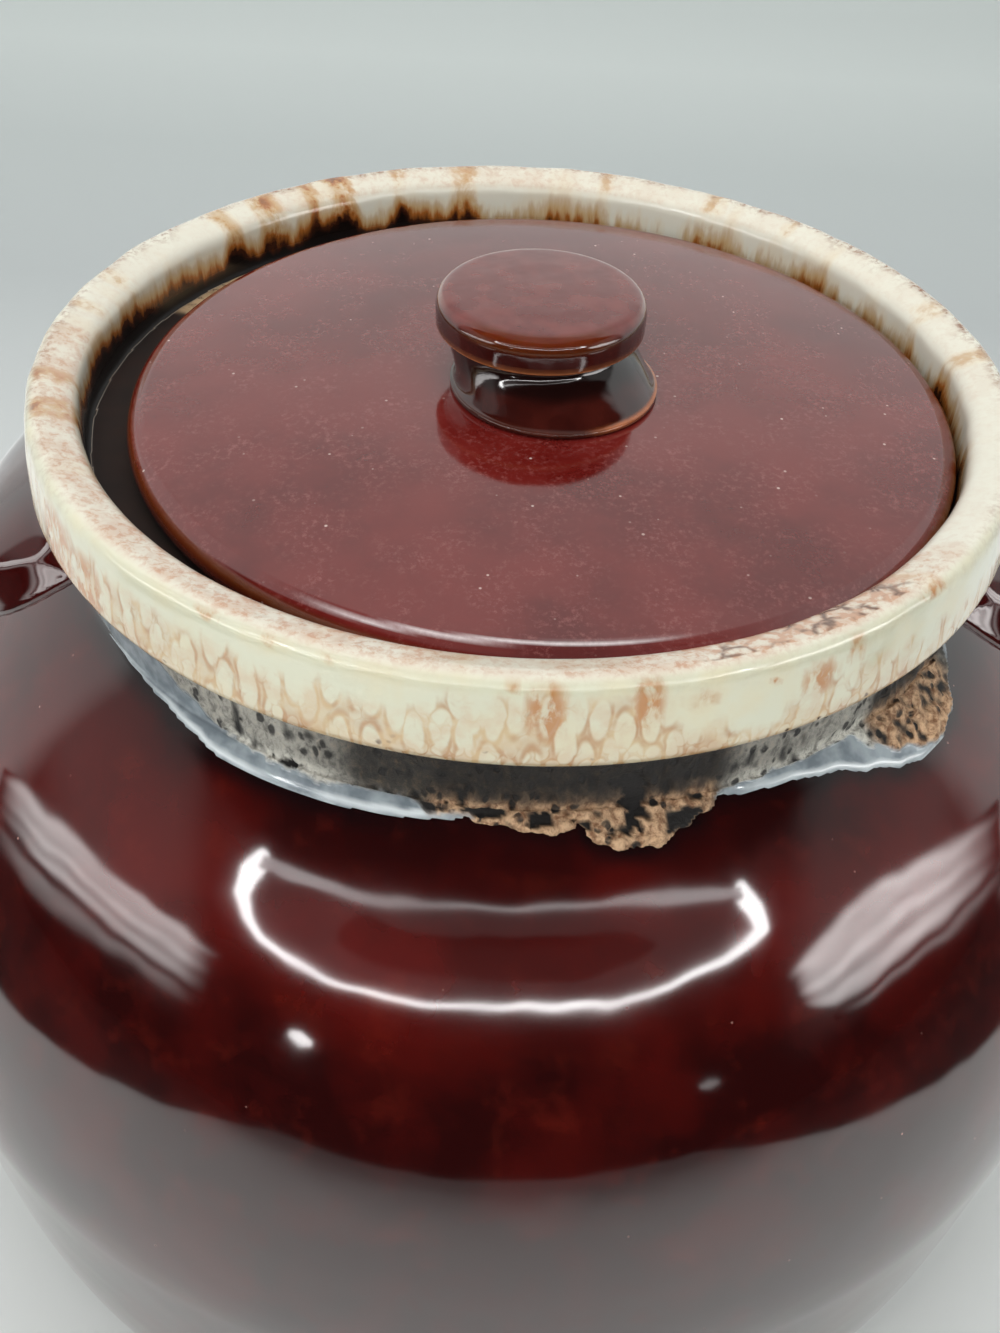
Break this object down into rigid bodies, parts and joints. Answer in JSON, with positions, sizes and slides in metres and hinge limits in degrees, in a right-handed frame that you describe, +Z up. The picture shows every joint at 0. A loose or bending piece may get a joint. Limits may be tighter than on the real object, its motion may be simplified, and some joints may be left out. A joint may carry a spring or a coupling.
{
  "type": "bean pot with lid",
  "caption": "Squat round stoneware bean pot with a heavy collar, solid side lugs and a recessed lid that lifts off by a flat round knob.",
  "frame": {"origin": "middle of the foot ring, on the surface that the pot stands on", "axes": "+Z up along the axis that the pot was turned on, +X towards the right handle, -Y towards the front"},
  "size_m": [0.237, 0.237, 0.1928],
  "materials": {
    "pot_glaze": "glossy dark oxblood brown glaze, cream drip glaze on the collar and inside the mouth, bare clay foot ring",
    "lid_glaze": "glossy dark oxblood brown glaze that breaks to orange brown on the edges, bare clay seat"
  },
  "bodies": {
    "pot": {"pot_body": "pot_glaze", "handle_left": "pot_glaze", "handle_right": "pot_glaze"},
    "lid": {"lid_disc": "lid_glaze", "lid_knob": "lid_glaze"}
  },
  "joints": [
    {"name": "lid_lift", "type": "slide", "parent": "pot", "child": "lid", "axis": [0, 0, 1], "range_m": [0, 0.08]}
  ]
}
